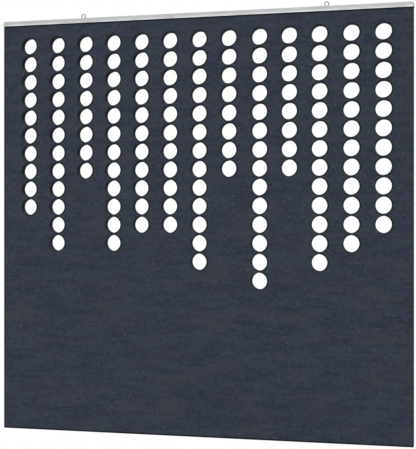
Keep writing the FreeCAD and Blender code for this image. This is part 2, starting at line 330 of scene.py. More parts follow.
def gap_to_holes(x, z):
    """How far points seen from the front lie outside the nearest hole and its arris."""
    away = np.hypot(x[:, None] - hole_centres[:, 0], z[:, None] - hole_centres[:, 1])
    return away.min(axis=1) - HOLE_RADIUS - ARRIS_RADIUS


place = points_of(felt_mesh)
leaned = place - RIM_SHADE_LEAN
hole_gap = gap_to_holes(place[:, 0], place[:, 2])
rim_gap = gap_to_holes(leaned[:, 0], place[:, 2])
border_gap = np.minimum(leaned - felt_low, felt_high - leaned)[:, (0, 2)].min(axis=1) - ARRIS_RADIUS
write_attribute(felt_mesh, "edge_gap", np.minimum(rim_gap, border_gap))
write_attribute(felt_mesh, "in_hole", np.clip(-hole_gap / ARRIS_RADIUS, 0, 1))
write_attribute(felt_mesh, "cut", np.clip((felt_back - np.abs(place[:, 1])) / ARRIS_RADIUS, 0, 1))

# The felt's finish: dark blue-grey fibres laid flat and tangled, with a few pale and rusty ones,
# in faint long clouds. Cut walls show the fibres' ends in layers. Painted shade darkens a hole's
# wall from the front to half way in and runs along cut edges; a painted shadow lies under the rail.
FELT_DARK = (0.0136, 0.0236, 0.0444, 1)
# The next colour is the near-black of the painted shade and the painted shadow.
FELT_PAINTED_SHADE = (0.0050, 0.0070, 0.0110, 1)
FELT_BLUE = (0.0299, 0.0425, 0.0682, 1)
FELT_RUST = (0.0545, 0.0480, 0.0645, 1)
FELT_GREEN = (0.0286, 0.0492, 0.0625, 1)
FELT_PALE = (0.128, 0.130, 0.155, 1)
FELT_LINT = (0.283, 0.296, 0.321, 1)
CLOUD_SIZE = (0.090, 0.040, 0.016)
TINT_SIZE = (0.150, 0.060, 0.045)
HUE_SIZE = (0.070, 0.050, 0.030)
TUFT_SIZE = (0.0085, 0.008, 0.0065)
STREAK_SIZE = (0.045, 0.004, 0.0020)
CREASE_SIZE = (0.070, 0.010, 0.0055)
LINT_SIZE = 0.0040
FIBRE_LENGTH = 0.008
FIBRE_SPACING = 0.0016
FIBRE_LINE = 0.07
FIBRE_TURNS = (0.1, 0.85, -0.75, 1.6)
FIBRE_SHIFT = 0.31
FIBRE_BEND_SHARE = 0.7
FINE_SIZE = (0.0013, 0.0013, 0.0008)
LAYER_SIZE = (0.0022, 0.00055, 0.0022)
# Painted shade beside the cut edges: how far it reaches and how dark it gets.
RIM_SHADE_WIDTH = 0.0033
RIM_SHADE_SHARE = 0.82
# Painted shadow below the rail: how far down it reaches and how dark it gets.
UNDER_RAIL_SHADOW_WIDTH = 0.0066
UNDER_RAIL_SHADOW_SHARE = 0.9
# Painted shade on the hole walls: its share at the front face and from half way in.
HOLE_SHADE_SHARES = (0.20, 0.95)
FELT_RELIEF = 0.0003
FINE_RELIEF_SHARE = 1.2
LAYER_RELIEF_SHARE = 2.6

# A range is where an effect of the felt starts and ends on its noise, and then its share at either
# end, where that isn't from none to all of it.
CLOUD_SHARE = 0.45
TUFT_SHARE = 0.55
SHADE_RANGE = (0.42, 0.58)
TINT_RANGE = (0.46, 0.72, 0.0, 0.55)
HUE_RANGE = (0.46, 0.72, 0.0, 0.65)
CREASE_RANGE = (0.40, 0.27)
CREASE_SHARE = 0.55
STREAK_RANGE = (0.58, 0.72)
STREAK_SHARE = 0.32
FIBRE_RANGE = (0.35, 0.70, 0.08, 0.42)
LINT_RANGE = (0.74, 0.79)
WALL_RANGE = (0.40, 0.68, 0.0, 0.40)
# The hole walls' painted dark colour, with the fibres' layers still showing.
HOLE_RANGE = (0.40, 0.66, 0.0, 0.7)
ROUGHNESS_RANGE = (0.2, 0.8, 0.86, 1.0)


def wire(tree, socket, value):
    """Feed a socket from another node's output, or set it to a plain value."""
    if isinstance(value, bpy.types.NodeSocket):
        tree.links.new(value, socket)
    else:
        socket.default_value = value


def add_node(tree, kind, menus=None, **inputs):
    """A shader node with its menus chosen and its inputs fed; a name has _ for a space."""
    node = tree.nodes.new("ShaderNode" + kind)
    for name, choice in (menus or {}).items():
        setattr(node, name, choice)
    for name, value in inputs.items():
        wire(tree, node.inputs[name.replace("_", " ")], value)
    return node


def reckon(tree, operation, *values):
    """The result of a sum on numbers."""
    node = add_node(tree, "Math", {"operation": operation})
    for socket, value in zip(node.inputs, values):
        wire(tree, socket, value)
    return node.outputs[0]


def eased(tree, value, start, end, low=0.0, high=1.0):
    """From low to high as the value goes from start to end, eased at both."""
    node = add_node(
        tree, "MapRange", {"interpolation_type": "SMOOTHSTEP"},
        Value=value, From_Min=start, From_Max=end, To_Min=low, To_Max=high,
    )
    return node.outputs["Result"]


def grain(tree, where, size, detail=2.0, turn=0.0, shift=0.0, rough=0.5):
    """A noise from 0 to 1 whose blots have the given size along x, y and z, turned about y. rough
    is the share of its finer steps."""
    held = add_node(
        tree, "Mapping", {"vector_type": "TEXTURE"},
        Vector=where, Location=(shift, shift, shift), Rotation=(0, turn, 0), Scale=size,
    )
    blots = add_node(
        tree, "TexNoise", Vector=held.outputs[0], Scale=1.0, Detail=detail, Roughness=rough
    )
    return blots.outputs["Fac"]


def attribute(tree, name):
    """The number that write_attribute gave to each vertex under this name."""
    return add_node(tree, "Attribute", {"attribute_name": name}).outputs["Fac"]


# A mix node has sockets of its own for each kind of value: its share, its two values, its result.
MIX_SOCKETS = {"FLOAT": ((0, 2, 3), 0), "RGBA": ((0, 6, 7), 2)}


def mingled(tree, share, first, second, kind="RGBA"):
    """The first colour, or number, turning to the second as share goes from 0 to 1."""
    node = add_node(tree, "Mix", {"data_type": kind})
    numbers, result = MIX_SOCKETS[kind]
    for number, value in zip(numbers, (share, first, second)):
        wire(tree, node.inputs[number], value)
    return node.outputs[result]


def new_group(name, inputs, outputs):
    """A node group with named inputs and outputs, its input sockets and its output sockets."""
    group = bpy.data.node_groups.new(name, "ShaderNodeTree")
    for label, kind in inputs:
        group.interface.new_socket(label, in_out="INPUT", socket_type="NodeSocket" + kind)
    for label, kind in outputs:
        group.interface.new_socket(label, in_out="OUTPUT", socket_type="NodeSocket" + kind)
    entry, end = group.nodes.new("NodeGroupInput"), group.nodes.new("NodeGroupOutput")
    return group, entry.outputs, end.inputs


def new_finish(name):
    """A material with its node tree, its one shader and the place on the piece."""
    finish = bpy.data.materials.new(name)
    finish.use_nodes = True
    tree = finish.node_tree
    where = add_node(tree, "TexCoord").outputs["Object"]
    return finish, tree, tree.nodes["Principled BSDF"], where


def fibre_group():
    """Tangled fibres: thin lines where a long noise crosses its middle, in four directions, bent by
    a slower noise."""
    group, entry, end = new_group(
        "felt_fibres",
        [("Vector", "Vector"), ("Length", "Float"), ("Spacing", "Float"), ("Line", "Float")],
        [("Threads", "Float")],
    )
    bend_size = reckon(group, "MULTIPLY", entry["Length"], FIBRE_BEND_SHARE)
    bend_frame = add_node(
        group, "Mapping", {"vector_type": "TEXTURE"}, Vector=entry["Vector"],
        Scale=add_node(group, "CombineXYZ", X=bend_size, Y=bend_size, Z=bend_size).outputs[0],
    )
    bend = add_node(group, "TexNoise", Vector=bend_frame.outputs[0], Scale=1.0, Detail=1.0)
    push = add_node(group, "VectorMath", {"operation": "SCALE"}, Scale=bend_size)
    wire(group, push.inputs[0], bend.outputs["Color"])
    bent = add_node(group, "VectorMath", {"operation": "ADD"})
    wire(group, bent.inputs[0], entry["Vector"])
    wire(group, bent.inputs[1], push.outputs[0])
    size = add_node(group, "CombineXYZ", X=entry["Length"], Y=entry["Spacing"], Z=entry["Spacing"])
    threads = 0.0
    for number, turn in enumerate(FIBRE_TURNS):
        shift = number * FIBRE_SHIFT
        blots = grain(group, bent.outputs[0], size.outputs[0], detail=1.0, turn=turn, shift=shift)
        off = reckon(group, "ABSOLUTE", reckon(group, "SUBTRACT", blots, 0.5))
        line = eased(group, off, 0.0, entry["Line"], 1.0, 0.0)
        threads = reckon(group, "MAXIMUM", threads, line)
    wire(group, end["Threads"], threads)
    return group


def felt_finish():
    """The board's material."""
    finish, tree, shader, where = new_finish("felt")
    gap, cut, in_hole = (attribute(tree, name) for name in ("edge_gap", "cut", "in_hole"))
    spot = add_node(tree, "SeparateXYZ", Vector=where).outputs
    fibres = add_node(
        tree, "Group", {"node_tree": fibre_group()},
        Vector=where, Length=FIBRE_LENGTH, Spacing=FIBRE_SPACING, Line=FIBRE_LINE,
    ).outputs["Threads"]
    cloud = grain(tree, where, CLOUD_SIZE, detail=5.0, rough=0.62)
    tint = grain(tree, where, TINT_SIZE, detail=6.0, shift=3.7, rough=0.66)
    hue = grain(tree, where, HUE_SIZE, detail=6.0, shift=7.1, rough=0.66)
    tuft = grain(tree, where, TUFT_SIZE, detail=3.0, shift=0.4, rough=0.6)
    fine = grain(tree, where, FINE_SIZE, detail=3.0, rough=0.6)
    streak = eased(tree, grain(tree, where, STREAK_SIZE, detail=3.0), *STREAK_RANGE)
    crease = eased(tree, grain(tree, where, CREASE_SIZE, detail=4.0, shift=5.2), *CREASE_RANGE)
    lint = eased(tree, grain(tree, where, (LINT_SIZE,) * 3, detail=1.0, shift=1.3), *LINT_RANGE)
    clouds = reckon(tree, "MULTIPLY", cloud, CLOUD_SHARE)
    shade = reckon(tree, "ADD", clouds, reckon(tree, "MULTIPLY", tuft, TUFT_SHARE))
    colour = mingled(tree, eased(tree, shade, *SHADE_RANGE), FELT_DARK, FELT_BLUE)
    colour = mingled(tree, eased(tree, tint, *TINT_RANGE), colour, FELT_RUST)
    colour = mingled(tree, eased(tree, hue, *HUE_RANGE), colour, FELT_GREEN)
    colour = mingled(tree, reckon(tree, "MULTIPLY", crease, CREASE_SHARE), colour, FELT_DARK)
    pale = reckon(tree, "MULTIPLY", fibres, eased(tree, fine, *FIBRE_RANGE))
    pale = reckon(tree, "MAXIMUM", pale, reckon(tree, "MULTIPLY", streak, STREAK_SHARE))
    face_colour = mingled(tree, pale, colour, FELT_PALE)
    face_colour = mingled(tree, lint, face_colour, FELT_LINT)
    layers = grain(tree, where, LAYER_SIZE, detail=4.0, rough=0.6)
    wall_colour = mingled(tree, eased(tree, layers, *WALL_RANGE), colour, FELT_PALE)
    # Painted shade in the holes: the walls turn towards near-black, most from half way in.
    painted_hole_colour = mingled(tree, eased(tree, layers, *HOLE_RANGE), FELT_PAINTED_SHADE, FELT_BLUE)
    painted_hole_shade = eased(tree, spot["Y"], -felt_back, 0.0, *HOLE_SHADE_SHARES)
    deep = mingled(tree, reckon(tree, "MULTIPLY", in_hole, painted_hole_shade), wall_colour, painted_hole_colour)
    bare = mingled(tree, cut, face_colour, deep)
    # Painted shade beside the cut edges and on the board's sides, leaning to one side.
    rim = eased(tree, gap, 0.0, RIM_SHADE_WIDTH, RIM_SHADE_SHARE, 0.0)
    # Painted shadow on the felt just below the rail's foot.
    shadow_below_rail = eased(
        tree, spot["Z"], rail_foot - UNDER_RAIL_SHADOW_WIDTH, rail_foot, 0.0, UNDER_RAIL_SHADOW_SHARE
    )
    # All the painted shade and shadow, mixed towards its near-black colour.
    painted_shade = mingled(tree, in_hole, reckon(tree, "MAXIMUM", rim, shadow_below_rail), painted_hole_shade, "FLOAT")
    wire(tree, shader.inputs["Base Color"], mingled(tree, painted_shade, bare, FELT_PAINTED_SHADE))
    wire(tree, shader.inputs["Roughness"], eased(tree, fine, *ROUGHNESS_RANGE))
    face_height = reckon(tree, "ADD", fibres, reckon(tree, "MULTIPLY", fine, FINE_RELIEF_SHARE))
    wall_height = reckon(tree, "MULTIPLY", layers, LAYER_RELIEF_SHARE)
    relief = mingled(tree, cut, face_height, wall_height, "FLOAT")
    bump = add_node(tree, "Bump", Strength=0.9, Distance=FELT_RELIEF, Height=relief)
    wire(tree, shader.inputs["Normal"], bump.outputs[0])
    shader.inputs["Specular IOR Level"].default_value = 0.12
    shader.inputs["Sheen Weight"].default_value = 0.06
    shader.inputs["Sheen Roughness"].default_value = 0.4
    return finish


dress(felt_mesh, felt_finish())

# Top rail: an aluminium channel extruded in one length, satin anodised and pushed down over the top
# edge of the board. Its long outer edges are rounded by the die, and its sawn ends are filed.
RAIL_WALL = 0.0025
RAIL_WEB = 0.0025
RAIL_OUTER_RADIUS = 0.0006
RAIL_TIP_RADIUS = 0.0004
RAIL_INNER_RADIUS = 0.0003
RAIL_ARC_STEPS = 5
RAIL_BAND = 0.0008
# The next band runs up each leg's outer face from its foot; the painted highlight fades over it.
FOOT_HIGHLIGHT_BAND = 0.0062
END_FILING = 0.00025
END_RUB_WIDTH = 1.5 * END_FILING
ARRIS_RUB_SHARE = 0.25
EYE_HOLE_RADIUS = 0.00225
SCREW_HOLE_RADIUS = 0.00195

rail_low, rail_high = (np.array(corner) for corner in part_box("top_rail"))


def rounded_section(corners, radii, bands, inset=0.0):
    """A closed outline with its corners rounded: arcs centre - r (b cos t + a sin t), where a and b
    point along the two sides that meet, and a plain point on each side of every arc, as far from it
    as bands says. The whole outline can be drawn in by inset."""
    corners, radii = np.array(corners), np.array(radii)[:, None, None]
    back = np.roll(corners, 1, axis=0) - corners
    ahead = np.roll(corners, -1, axis=0) - corners
    back /= np.linalg.norm(back, axis=1, keepdims=True)
    ahead /= np.linalg.norm(ahead, axis=1, keepdims=True)
    outward = np.sign(ahead[:, 0] * back[:, 1] - ahead[:, 1] * back[:, 0])[:, None, None]
    turn = np.linspace(0, math.pi / 2, RAIL_ARC_STEPS + 1)[:, None]
    way = -(ahead[:, None] * np.cos(turn) + back[:, None] * np.sin(turn))
    arcs = corners[:, None] + radii * (back + ahead)[:, None] + radii * way
    first = arcs[:, :1] + bands[:, :1, None] * back[:, None]
    last = arcs[:, -1:] + bands[:, 1:, None] * ahead[:, None]
    outline = np.concatenate([first, arcs, last], axis=1)
    way = outward * np.concatenate([way[:, :1], way, way[:, -1:]], axis=1)
    return (outline - inset * way).reshape(-1, 2)


def rail_mesh():
    """The channel's section carried along x, drawn in at both ends by the filing and closed."""
    half, inner = rail_high[1], rail_high[1] - RAIL_WALL
    top, foot = rail_high[2], rail_low[2]
    corners = [
        (-half, top), (-half, foot), (-inner, foot), (-inner, top - RAIL_WEB),
        (inner, top - RAIL_WEB), (inner, foot), (half, foot), (half, top),
    ]
    radii = [RAIL_OUTER_RADIUS] + [RAIL_TIP_RADIUS] * 2 + [RAIL_INNER_RADIUS] * 2
    radii += [RAIL_TIP_RADIUS] * 2 + [RAIL_OUTER_RADIUS]
    bands = np.full((len(corners), 2), RAIL_BAND)
    # Long bands at the feet carry the painted highlight up the legs' outer faces.
    front_foot, back_foot = 1, 6
    bands[front_foot, 0] = bands[back_foot, 1] = FOOT_HIGHLIGHT_BAND
    full, drawn_in = (rounded_section(corners, radii, bands, inset) for inset in (0.0, END_FILING))
    stops = [
        (rail_low[0], drawn_in), (rail_low[0] + END_FILING, full),
        (rail_low[0] + END_FILING + RAIL_BAND, full),
        (rail_high[0] - END_FILING - RAIL_BAND, full),
        (rail_high[0] - END_FILING, full), (rail_high[0], drawn_in),
    ]
    points = np.array([np.column_stack([np.full(len(loop), x), loop]) for x, loop in stops])
    around = len(full)
    last = (len(stops) - 1) * around
    ends = [list(range(around)), list(range(last, last + around))[::-1]]
    skin = band_faces(len(stops), around)[:, ::-1].tolist()
    return sewn_mesh("rail", [(points, skin), (points, ends)])


eye_holes = [
    round_cutter(
        (x, 0, rail_high[2] - RAIL_WEB - CUTTER_OVERRUN), (0, 0, 1),
        EYE_HOLE_RADIUS, RAIL_WEB + 2 * CUTTER_OVERRUN,
    )
    for x in eye_x
]
screw_holes = [
    round_cutter(
        (x, rail_high[1] - RAIL_WALL - CUTTER_OVERRUN / 2, screw_z), (0, 1, 0),
        SCREW_HOLE_RADIUS, RAIL_WALL + 2 * CUTTER_OVERRUN,
    )
    for x in screw_x
]
channel_mesh = bored(rail_mesh(), eye_holes + screw_holes, "rail_channel")
rail = new_piece("rail_channel", channel_mesh)
keep_flat(rail, SHARP_ANGLE)
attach(rail, "panel")
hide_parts("top_rail")

# The rail's bright mask: real rubbing on the top arris, the feet's tips and the filed ends, and a
# painted highlight that fades from each foot's tip up the leg's outer face over the long band.
place = points_of(channel_mesh)
from_side = rail_high[1] - np.abs(place[:, 1])
at_arris = (from_side < RAIL_OUTER_RADIUS) & (rail_high[2] - place[:, 2] < RAIL_OUTER_RADIUS)
at_tip = place[:, 2] - rail_low[2] < RAIL_TIP_RADIUS
from_end = np.minimum(place[:, 0] - rail_low[0], rail_high[0] - place[:, 0])
rub_and_highlight_mask = np.maximum(ARRIS_RUB_SHARE * at_arris, at_tip | (from_end < END_RUB_WIDTH))
write_attribute(channel_mesh, "wear_and_painted_highlight", rub_and_highlight_mask)
write_attribute(channel_mesh, "sawn", from_end < END_FILING / 2)

# The rail's finish: satin anodised aluminium with fine die lines along its length, faint handling
# marks, edges rubbed brighter, a painted highlight up the lower part of each leg's outer face, and
# saw marks on the ends. A metal's tones are its plain, its smudged and its bright colour.
RAIL_TONES = (0.486, 0.492, 0.503, 1), (0.441, 0.446, 0.458, 1), (0.780, 0.785, 0.795, 1)
DIE_LINE_SIZE = (0.30, 0.00035, 0.00035)
SAW_LINE_SIZE = (0.0010, 0.0120, 0.00035)
RAIL_SMUDGE_SIZE = (0.060, 0.012, 0.012)
RAIL_SCRATCH_SIZE = (0.012, 0.0006, 0.0006)

# How all the metals wear, and how the rail's painted highlight breaks into patches: where each
# effect starts and ends on its noise, and its shares.
EDGE_PATCH_RANGE = (0.32, 0.62, 0.25, 1.0)
SMUDGE_RANGE = (0.3, 0.7)
DULL_RANGE = (0.25, 0.75)
LINE_RANGE = (0.35, 0.7, 0.0, 0.5)
SCRATCH_RANGE = (0.70, 0.78)
SCRATCH_SHARE = 0.22
SMUDGE_ROUGHENING = 1.25
RUB_POLISH_SHARE = 0.2


def wear_group():
    """Rubbed edges, and on the rail a painted highlight at the feet: an edge mask broken up by a
    noise.
    """
    group, entry, end = new_group(
        "patchy_edges",
        [("Vector", "Vector"), ("Edge", "Float"), ("Patch", "Float")],
        [("Patchy Edge", "Float")],
    )
    size = add_node(group, "CombineXYZ", X=entry["Patch"], Y=entry["Patch"], Z=entry["Patch"])
    patches = grain(group, entry["Vector"], size.outputs[0], detail=3.0)
    wire(group, end["Patchy Edge"], reckon(
        group, "MULTIPLY", entry["Edge"], eased(group, patches, *EDGE_PATCH_RANGE)
    ))
    return group


def metal_group():
    """A worked metal skin: tool lines, slow smudges and short scratches. Sizes are vectors."""
    group, entry, end = new_group(
        "metal_skin",
        [("Vector", "Vector"), ("Line Size", "Vector"), ("Smudge Size", "Vector"),
         ("Scratch Size", "Vector")],
        [("Lines", "Float"), ("Smudge", "Float"), ("Scratches", "Float")],
    )
    wire(group, end["Lines"], grain(group, entry["Vector"], entry["Line Size"], detail=3.0))
    wire(group, end["Smudge"], grain(group, entry["Vector"], entry["Smudge Size"], detail=3.0))
    marks = grain(group, entry["Vector"], entry["Scratch Size"], detail=1.0, turn=0.25, shift=0.7)
    wire(group, end["Scratches"], eased(group, marks, *SCRATCH_RANGE))
    return group


patchy_edges, metal_skin = wear_group(), metal_group()


def metal_finish(
    name, tones, line_size, smudge_size, scratch_size, patch, roughness, relief, cut_size=None
):
    """A metal with tool lines, smudges, scratches, and edges rubbed bright in patches of a given
    size; on the rail the same mask also carries a painted highlight at the feet. Where the piece
    has a mask named sawn, cut_size is the size of the saw's marks."""
    finish, tree, shader, where = new_finish(name)
    plain, shade, bright = tones
    skin = add_node(tree, "Group", {"node_tree": metal_skin}, Vector=where)
    skin.inputs["Line Size"].default_value = line_size
    skin.inputs["Smudge Size"].default_value = smudge_size
    skin.inputs["Scratch Size"].default_value = scratch_size
    lines = skin.outputs["Lines"]
    if cut_size:
        cuts = grain(tree, where, cut_size, detail=2.0, turn=0.12, rough=0.7)
        lines = mingled(tree, attribute(tree, "sawn"), lines, cuts, "FLOAT")
    # Rubbed edges, and on the rail the painted highlight at the feet, turn to the bright tone.
    rub_and_glint = add_node(
        tree, "Group", {"node_tree": patchy_edges},
        Vector=where, Edge=attribute(tree, "wear_and_painted_highlight"), Patch=patch,
    ).outputs["Patchy Edge"]
    colour = mingled(tree, eased(tree, skin.outputs["Smudge"], *SMUDGE_RANGE), shade, plain)
    colour = mingled(tree, eased(tree, lines, *LINE_RANGE), colour, plain)
    marks = reckon(tree, "MULTIPLY", skin.outputs["Scratches"], SCRATCH_SHARE)
    colour = mingled(tree, reckon(tree, "MAXIMUM", marks, rub_and_glint), colour, bright)
    wire(tree, shader.inputs["Base Color"], colour)
    dulled = roughness * SMUDGE_ROUGHENING
    rough = eased(tree, skin.outputs["Smudge"], *DULL_RANGE, roughness, dulled)
    polish = reckon(tree, "MULTIPLY", rub_and_glint, roughness * RUB_POLISH_SHARE)
    rough = reckon(tree, "SUBTRACT", rough, polish)
    wire(tree, shader.inputs["Roughness"], rough)
    height = reckon(tree, "SUBTRACT", lines, marks)
    bump = add_node(tree, "Bump", Strength=0.5, Distance=relief, Height=height)
    wire(tree, shader.inputs["Normal"], bump.outputs[0])
    shader.inputs["Metallic"].default_value = 1.0
    return finish


dress(channel_mesh, metal_finish(
    "satin_aluminium", RAIL_TONES, DIE_LINE_SIZE, RAIL_SMUDGE_SIZE, RAIL_SCRATCH_SIZE,
    patch=0.060, roughness=0.24, relief=0.00003, cut_size=SAW_LINE_SIZE,
))

# Rail screws: eight zinc plated pan head screws with a cross recess, in a line along the back of
# the channel. They go through its rear leg into the felt and keep the channel from lifting off.
# Each is shaped along z, and HEAD_TO_BACK turns its head to the back.
HEAD_RADIUS = 0.0034
HEAD_HEIGHT = 0.0024
HEAD_CROWN = 0.0007
HEAD_SHOULDER = 0.0007
HEAD_RIM_SHARE = 0.45
SHOULDER_SHARES = (0.13, 0.4)
SEAT_EASING = 0.00012
WORN_CROWN_SHARE = 0.85
CROSS_HALF_SPAN = 0.00195
CROSS_HALF_WIDTH = 0.00055
CROSS_DEPTH = 0.0013
CROSS_TAPER = 0.0002
SCREW_CREST = 0.00175
SCREW_CORE = 0.00125
SCREW_PITCH = 0.0013
SCREW_POINT = 0.0035
SCREW_TIP_SHARE = 0.1
SCREW_RIDGE = (0, 0, 0.35, 1, 0.35, 0)
SCREW_RUNOUT = 0.0010
SCREW_SINK = 0.0005
THREAD_SIDES = 16
HEAD_TO_BACK = [[-1, 0, 0], [0, 0, 1], [0, 1, 0]]


def thread_sheets(start, end, crest, core, pitch, ridge, runout, point=0.0):
    """A screw thread along z as a sheet whose rows follow the helix,
    z = pitch (row / n + turn / 2 pi), so that each row keeps its place on the thread. There
    radius = core + (crest - core) * share, and share follows the n numbers of ridge. The thread
    fades out over runout at both ends, and the radius narrows over point at the start."""
    turns = int(math.ceil((end - start) / pitch)) + 2
    rows = len(ridge) * turns + 1
    row, spot = np.meshgrid(np.arange(rows), np.arange(THREAD_SIDES + 1), indexing="ij")
    height = start + pitch * (row / len(ridge) + spot / THREAD_SIDES - 1)
    height = np.clip(height, start, end)
    share = np.array(ridge)[row % len(ridge)]
    for from_end in (height - start, end - height):
        share = share * np.clip(from_end / runout, 0, 1)
    radius = core + (crest - core) * share
    if point:
        radius = radius * np.clip((height - start) / point + SCREW_TIP_SHARE, 0, 1)
    turn = spot * 2 * math.pi / THREAD_SIDES
    points = np.stack([radius * np.cos(turn), radius * np.sin(turn), height], axis=-1)
    skin = band_faces(rows, THREAD_SIDES + 1, closed=False)
    last = (rows - 1) * (THREAD_SIDES + 1)
    ends = [list(range(THREAD_SIDES))[::-1], list(range(last, last + THREAD_SIDES))]
    return [(points, skin), (points, ends)]


def recessed_head():
    """The head along z, seen from above. A grid of squares with lines at the recess's walls is
    eased into a disk: its points keep their place near the middle and end on a circle at the rim.
    The crown's height is HEAD_HEIGHT - HEAD_CROWN (r / R) ** 2, less the recess inside the cross.
    Rings close the head round its shoulder and below."""
    rim = HEAD_RADIUS - HEAD_SHOULDER * HEAD_RIM_SHARE
    line = np.array([
        CROSS_HALF_WIDTH - CROSS_TAPER, CROSS_HALF_WIDTH, (CROSS_HALF_WIDTH + CROSS_HALF_SPAN) / 2,
        CROSS_HALF_SPAN - CROSS_TAPER, CROSS_HALF_SPAN, (CROSS_HALF_SPAN + rim) / 2, rim,
    ])
    line = np.concatenate([-line[::-1], line])
    across, up = np.meshgrid(line, line, indexing="ij")
    square, reach = np.maximum(np.abs(across), np.abs(up)), np.hypot(across, up)
    share = np.clip((square - CROSS_HALF_SPAN) / (rim - CROSS_HALF_SPAN), 0, 1)
    draw = 1 - share + share * square / reach
    near = np.minimum(np.abs(across), np.abs(up))
    in_cross = square < CROSS_HALF_SPAN - CROSS_TAPER / 2
    in_cross &= near < CROSS_HALF_WIDTH - CROSS_TAPER / 2
    height = HEAD_HEIGHT - HEAD_CROWN * (reach * draw / HEAD_RADIUS) ** 2 - CROSS_DEPTH * in_cross
    crown = np.stack([across * draw, up * draw, height], axis=-1)
    edge = np.concatenate([crown[:-1, 0], crown[-1, :-1], crown[:0:-1, -1], crown[0, :0:-1]])
    way = edge[:, :2] / np.linalg.norm(edge[:, :2], axis=1, keepdims=True)
    shoulder = edge[0, 2]
    inward, down = (HEAD_SHOULDER * share for share in SHOULDER_SHARES)
    rings = [
        (rim, shoulder), (HEAD_RADIUS - inward, shoulder - down),
        (HEAD_RADIUS, shoulder - HEAD_SHOULDER), (HEAD_RADIUS, SEAT_EASING),
        (HEAD_RADIUS - SEAT_EASING, 0), (SCREW_CORE, 0),
    ]
    side = np.array([
        np.column_stack([way * radius, np.full(len(way), height)]) for radius, height in rings
    ])
    around, last = len(way), (len(rings) - 1) * len(way)
    return [
        (crown, band_faces(len(line), len(line), closed=False)),
        (side, band_faces(len(rings), around)[:, ::-1]),
        (side, [list(range(last, last + around))[::-1]]),
    ]


screw_sheets = recessed_head() + thread_sheets(
    screw_low[1] - rail_high[1], SCREW_SINK, SCREW_CREST, SCREW_CORE, SCREW_PITCH,
    SCREW_RIDGE, SCREW_RUNOUT, SCREW_POINT,
)
screws_mesh = sewn_mesh("rail_screws_shown", [
    (np.reshape(points, (-1, 3)) @ HEAD_TO_BACK + [x, rail_high[1], screw_z], faces)
    for x in screw_x for points, faces in screw_sheets
])
screws_mesh.set_sharp_from_angle(angle=math.radians(SHARP_ANGLE))
screws = new_piece("rail_screws_shown", screws_mesh)
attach(screws, "panel")
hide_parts("rail_screws")

place = points_of(screws_mesh)
up_crown = place[:, 1] - rail_high[1] - HEAD_HEIGHT + HEAD_CROWN
rub_and_highlight_mask = (up_crown > 0) & (up_crown < HEAD_CROWN * WORN_CROWN_SHARE)
write_attribute(screws_mesh, "wear_and_painted_highlight", rub_and_highlight_mask)

# The small parts' finish: bright zinc with a faint blue cast, dulled in spots.
ZINC_TONES = (0.50, 0.51, 0.53, 1), (0.40, 0.415, 0.44, 1), (0.68, 0.68, 0.68, 1)
ZINC_GRAIN_SIZE = (0.0005, 0.0005, 0.0005)
ZINC_SMUDGE_SIZE = (0.004, 0.004, 0.004)
ZINC_SCRATCH_SIZE = (0.003, 0.00025, 0.00025)

zinc_finish = metal_finish(
    "zinc_plate", ZINC_TONES, ZINC_GRAIN_SIZE, ZINC_SMUDGE_SIZE, ZINC_SCRATCH_SIZE,
    patch=0.0018, roughness=0.30, relief=0.00002,
)
dress(screws_mesh, zinc_finish)

# Eye bolts: two small forged steel eyes, zinc plated, each a round ring on a flared neck and collar
# above an M4 shank. The collar stands just clear of the channel, so that the eye can turn. UPRIGHT
# stands the ring, which is turned about z, on its edge.
RING_RADIUS = 0.005664
WIRE_RADIUS = 0.0015
BORE_RADIUS = 0.00425
NECK_RADIUS = 0.00135
NECK_TOP = -0.005664
COLLAR_TOP = -0.006414
COLLAR_FOOT = -0.007214
COLLAR_RADIUS = 0.00375
COLLAR_ROUNDING = 0.00016
FORGED_FILLET = 0.0005
LAND_ROUNDING = 0.0002
SHANK_CREST = 0.002
SHANK_CORE = 0.00157
SHANK_PITCH = 0.0007
SHANK_RIDGE = (0, 0.25, 0.75, 1, 0.75, 0.25)
SHANK_RUNOUT = 0.0005
SHANK_SINK = 0.0003
RING_SIDES = 96
WIRE_SIDES = 32
STEM_SIDES = 48
VOXEL = 0.00017
SETTLING_ROUNDS = 5
SLOPE_STEP = 1e-6
LEAST_SLOPE = 0.2
EYE_SHARP_ANGLE = 50
LAND_RUB_WIDTH = 0.0006
LAND_RUB_SHARES = (0.3, 0.8)
UPRIGHT = [[1, 0, 0], [0, 0, 1], [0, -1, 0]]


def turned(profile, around):
    """A sheet turned about z from (radius, height) pairs that run upwards."""
    radius, height = np.array(profile).T[:, :, None]
    turn = np.arange(around) * 2 * math.pi / around
    points = np.stack(np.broadcast_arrays(
        radius * np.cos(turn), radius * np.sin(turn), height
    ), axis=-1)
    return points, band_faces(len(profile), around)


def blended(first, second, width):
    """The smaller of two distances with its valley filled: min(a, b) - h * h / (4 width), where h
    is width - |a - b|, or nothing where that is below nothing."""
    close = np.clip(width - np.abs(first - second), 0, None)
    return np.minimum(first, second) - close * close / (4 * width)


